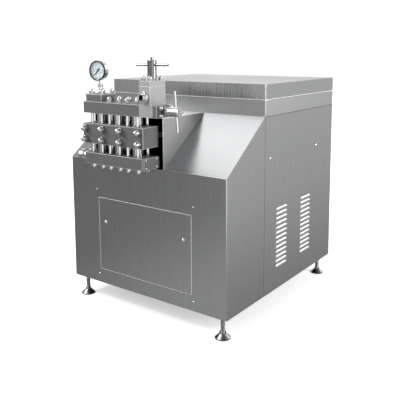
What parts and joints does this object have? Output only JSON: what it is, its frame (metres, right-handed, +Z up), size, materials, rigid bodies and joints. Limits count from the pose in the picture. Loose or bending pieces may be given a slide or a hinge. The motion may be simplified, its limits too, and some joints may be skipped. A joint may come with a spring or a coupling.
{
  "type": "dairy homogenizer",
  "caption": "Plunger homogenizer: stainless cabinet with sloped shoulders on levelling feet, belt drive inside, pump block, gauge and hand-screw valves in front.",
  "frame": {"origin": "on the floor under the middle of the overall box", "axes": "+Z up, -Y towards the pump at the front, +X to the right seen from the front"},
  "size_m": [1.0152, 1.282, 1.303],
  "materials": {
    "stainless_sheet": "brushed stainless sheet",
    "stainless_machined": "fine ground stainless",
    "stainless_polished": "polished stainless",
    "stainless_foot": "turned stainless",
    "valve_ball": "lapped",
    "plunger_ceramic": "ground ceramic",
    "frame_paint": "grey paint",
    "casting_paint": "painted casting",
    "motor_paint": "painted casting",
    "pulley_iron": "turned iron",
    "belt_rubber": "matt",
    "gland_plastic": "matt black",
    "gauge_case_black": "satin black",
    "dial_face": "white enamel",
    "pointer_black": "matt black",
    "clear_glass": "clear"
  },
  "bodies": {
    "machine": {"frame_side_rails": "frame_paint", "frame_cross_rails": "frame_paint", "frame_uprights": "frame_paint", "front_shell": "stainless_sheet", "slope_panels": "stainless_sheet", "pump_hood": "stainless_sheet", "upper_band": "stainless_sheet", "rear_panel": "stainless_sheet", "small_screws": "stainless_polished", "cable_gland": "gland_plastic", "pump_body": "stainless_machined", "discharge_plate": "stainless_machined", "suction_plate": "stainless_machined", "valve_barrels": "stainless_polished", "tie_bolts": "stainless_polished", "cap_nuts": "stainless_polished", "pipe_unions": "stainless_polished", "suction_end_cover": "stainless_machined", "packing_glands": "stainless_polished", "gauge_block": "stainless_machined", "gauge_stem": "stainless_polished", "gauge_case": "gauge_case_black", "gauge_dial": "dial_face", "gauge_glass": "clear_glass", "valve_block": "stainless_machined", "stage1_bonnet": "stainless_machined", "stage2_bonnet": "stainless_machined", "crankcase": "casting_paint", "v_belts": "belt_rubber", "motor": "motor_paint"},
    "top_cover": {"top_cover": "stainless_sheet"},
    "front_door": {"front_door": "stainless_sheet"},
    "front_lock_left": {"front_lock_left": "stainless_polished"},
    "front_lock_right": {"front_lock_right": "stainless_polished"},
    "right_side_panel": {"right_side_panel": "stainless_sheet"},
    "right_lock_front": {"right_lock_front": "stainless_polished"},
    "right_lock_rear": {"right_lock_rear": "stainless_polished"},
    "left_side_panel": {"left_side_panel": "stainless_sheet"},
    "left_lock_front": {"left_lock_front": "stainless_polished"},
    "left_lock_rear": {"left_lock_rear": "stainless_polished"},
    "stage1_plug": {"stage1_plug": "stainless_polished"},
    "stage1_handle": {"stage1_handle": "stainless_polished"},
    "stage2_plug": {"stage2_plug": "stainless_polished"},
    "stage2_handle": {"stage2_handle": "stainless_polished"},
    "gauge_pointer": {"gauge_pointer": "pointer_black"},
    "crankshaft": {"crankshaft_pulley": "pulley_iron"},
    "motor_rotor": {"motor_pulley": "pulley_iron"},
    "plunger_1": {"plunger_1": "plunger_ceramic"},
    "suction_ball_1": {"suction_ball_1": "valve_ball"},
    "discharge_ball_1": {"discharge_ball_1": "valve_ball"},
    "plunger_2": {"plunger_2": "plunger_ceramic"},
    "suction_ball_2": {"suction_ball_2": "valve_ball"},
    "discharge_ball_2": {"discharge_ball_2": "valve_ball"},
    "plunger_3": {"plunger_3": "plunger_ceramic"},
    "suction_ball_3": {"suction_ball_3": "valve_ball"},
    "discharge_ball_3": {"discharge_ball_3": "valve_ball"},
    "foot_front_left": {"foot_front_left": "stainless_foot"},
    "foot_front_right": {"foot_front_right": "stainless_foot"},
    "foot_rear_left": {"foot_rear_left": "stainless_foot"},
    "foot_rear_right": {"foot_rear_right": "stainless_foot"}
  },
  "joints": [
    {"name": "lid_lift", "type": "slide", "parent": "machine", "child": "top_cover", "axis": [0, 0, 1], "range_m": [0, 0.25]},
    {"name": "front_door_pull", "type": "slide", "parent": "machine", "child": "front_door", "axis": [0, -1, 0], "range_m": [0, 0.2]},
    {"name": "right_panel_pull", "type": "slide", "parent": "machine", "child": "right_side_panel", "axis": [1, 0, 0], "range_m": [0, 0.2]},
    {"name": "left_panel_pull", "type": "slide", "parent": "machine", "child": "left_side_panel", "axis": [-1, 0, 0], "range_m": [0, 0.2]},
    {"name": "front_lock_left_turn", "type": "hinge", "parent": "front_door", "child": "front_lock_left", "pos_m": [-0.255, -0.497, 0.447], "axis": [0, 1, 0], "range_deg": [0, 90]},
    {"name": "front_lock_right_turn", "type": "hinge", "parent": "front_door", "child": "front_lock_right", "pos_m": [0.255, -0.497, 0.447], "axis": [0, -1, 0], "range_deg": [0, 90]},
    {"name": "right_lock_front_turn", "type": "hinge", "parent": "right_side_panel", "child": "right_lock_front", "pos_m": [0.5, -0.116, 0.806], "axis": [-1, 0, 0], "range_deg": [0, 90]},
    {"name": "right_lock_rear_turn", "type": "hinge", "parent": "right_side_panel", "child": "right_lock_rear", "pos_m": [0.5, 0.396, 0.806], "axis": [1, 0, 0], "range_deg": [0, 90]},
    {"name": "left_lock_front_turn", "type": "hinge", "parent": "left_side_panel", "child": "left_lock_front", "pos_m": [-0.5, -0.116, 0.806], "axis": [-1, 0, 0], "range_deg": [0, 90]},
    {"name": "left_lock_rear_turn", "type": "hinge", "parent": "left_side_panel", "child": "left_lock_rear", "pos_m": [-0.5, 0.396, 0.806], "axis": [1, 0, 0], "range_deg": [0, 90]},
    {"name": "stage1_lift", "type": "slide", "parent": "machine", "child": "stage1_plug", "axis": [0, 0, 1], "range_m": [-0.003, 0.003]},
    {"name": "stage1_turn", "type": "hinge", "parent": "stage1_plug", "child": "stage1_handle", "pos_m": [0.125, -0.552, 1.173], "axis": [0, 0, 1], "range_deg": [-361, 361]},
    {"name": "stage2_lift", "type": "slide", "parent": "machine", "child": "stage2_plug", "axis": [1, 0, 0], "range_m": [-0.003, 0.003]},
    {"name": "stage2_turn", "type": "hinge", "parent": "stage2_plug", "child": "stage2_handle", "pos_m": [0.17, -0.552, 1.0585], "axis": [1, 0, 0], "range_deg": [-361, 361]},
    {"name": "gauge_pointer_turn", "type": "hinge", "parent": "machine", "child": "gauge_pointer", "pos_m": [-0.20933, -0.56791, 1.236], "axis": [-0.1045, 0.9945, 0], "range_deg": [0, 270]},
    {"name": "plunger_1_stroke", "type": "slide", "parent": "machine", "child": "plunger_1", "axis": [0, 1, 0], "range_m": [0, 0.05]},
    {"name": "plunger_2_stroke", "type": "slide", "parent": "machine", "child": "plunger_2", "axis": [0, 1, 0], "range_m": [-0.0375, 0.0125]},
    {"name": "plunger_3_stroke", "type": "slide", "parent": "machine", "child": "plunger_3", "axis": [0, 1, 0], "range_m": [-0.0375, 0.0125]},
    {"name": "suction_ball_1_lift", "type": "slide", "parent": "machine", "child": "suction_ball_1", "axis": [0, 0, 1], "range_m": [0, 0.008]},
    {"name": "discharge_ball_1_lift", "type": "slide", "parent": "machine", "child": "discharge_ball_1", "axis": [0, 0, 1], "range_m": [0, 0.008]},
    {"name": "suction_ball_2_lift", "type": "slide", "parent": "machine", "child": "suction_ball_2", "axis": [0, 0, 1], "range_m": [0, 0.008]},
    {"name": "discharge_ball_2_lift", "type": "slide", "parent": "machine", "child": "discharge_ball_2", "axis": [0, 0, 1], "range_m": [0, 0.008]},
    {"name": "suction_ball_3_lift", "type": "slide", "parent": "machine", "child": "suction_ball_3", "axis": [0, 0, 1], "range_m": [0, 0.008]},
    {"name": "discharge_ball_3_lift", "type": "slide", "parent": "machine", "child": "discharge_ball_3", "axis": [0, 0, 1], "range_m": [0, 0.008]},
    {"name": "crankshaft_spin", "type": "hinge", "parent": "machine", "child": "crankshaft", "pos_m": [0, 0.053, 0.93], "axis": [1, 0, 0], "continuous": true},
    {"name": "motor_spin", "type": "hinge", "parent": "machine", "child": "motor_rotor", "pos_m": [0, 0.318, 0.332], "axis": [1, 0, 0], "continuous": true},
    {"name": "foot_front_left_screw", "type": "slide", "parent": "machine", "child": "foot_front_left", "axis": [0, 0, -1], "range_m": [0, 0.025]},
    {"name": "foot_front_right_screw", "type": "slide", "parent": "machine", "child": "foot_front_right", "axis": [0, 0, -1], "range_m": [0, 0.025]},
    {"name": "foot_rear_left_screw", "type": "slide", "parent": "machine", "child": "foot_rear_left", "axis": [0, 0, -1], "range_m": [0, 0.025]},
    {"name": "foot_rear_right_screw", "type": "slide", "parent": "machine", "child": "foot_rear_right", "axis": [0, 0, -1], "range_m": [0, 0.025]}
  ],
  "couplings": [
    {"joint": "stage1_turn", "follows": "stage1_lift", "rad_per_m": 2094.4},
    {"joint": "stage2_turn", "follows": "stage2_lift", "rad_per_m": 2094.4},
    {"joint": "motor_spin", "follows": "crankshaft_spin", "ratio": 2.7808}
  ]
}
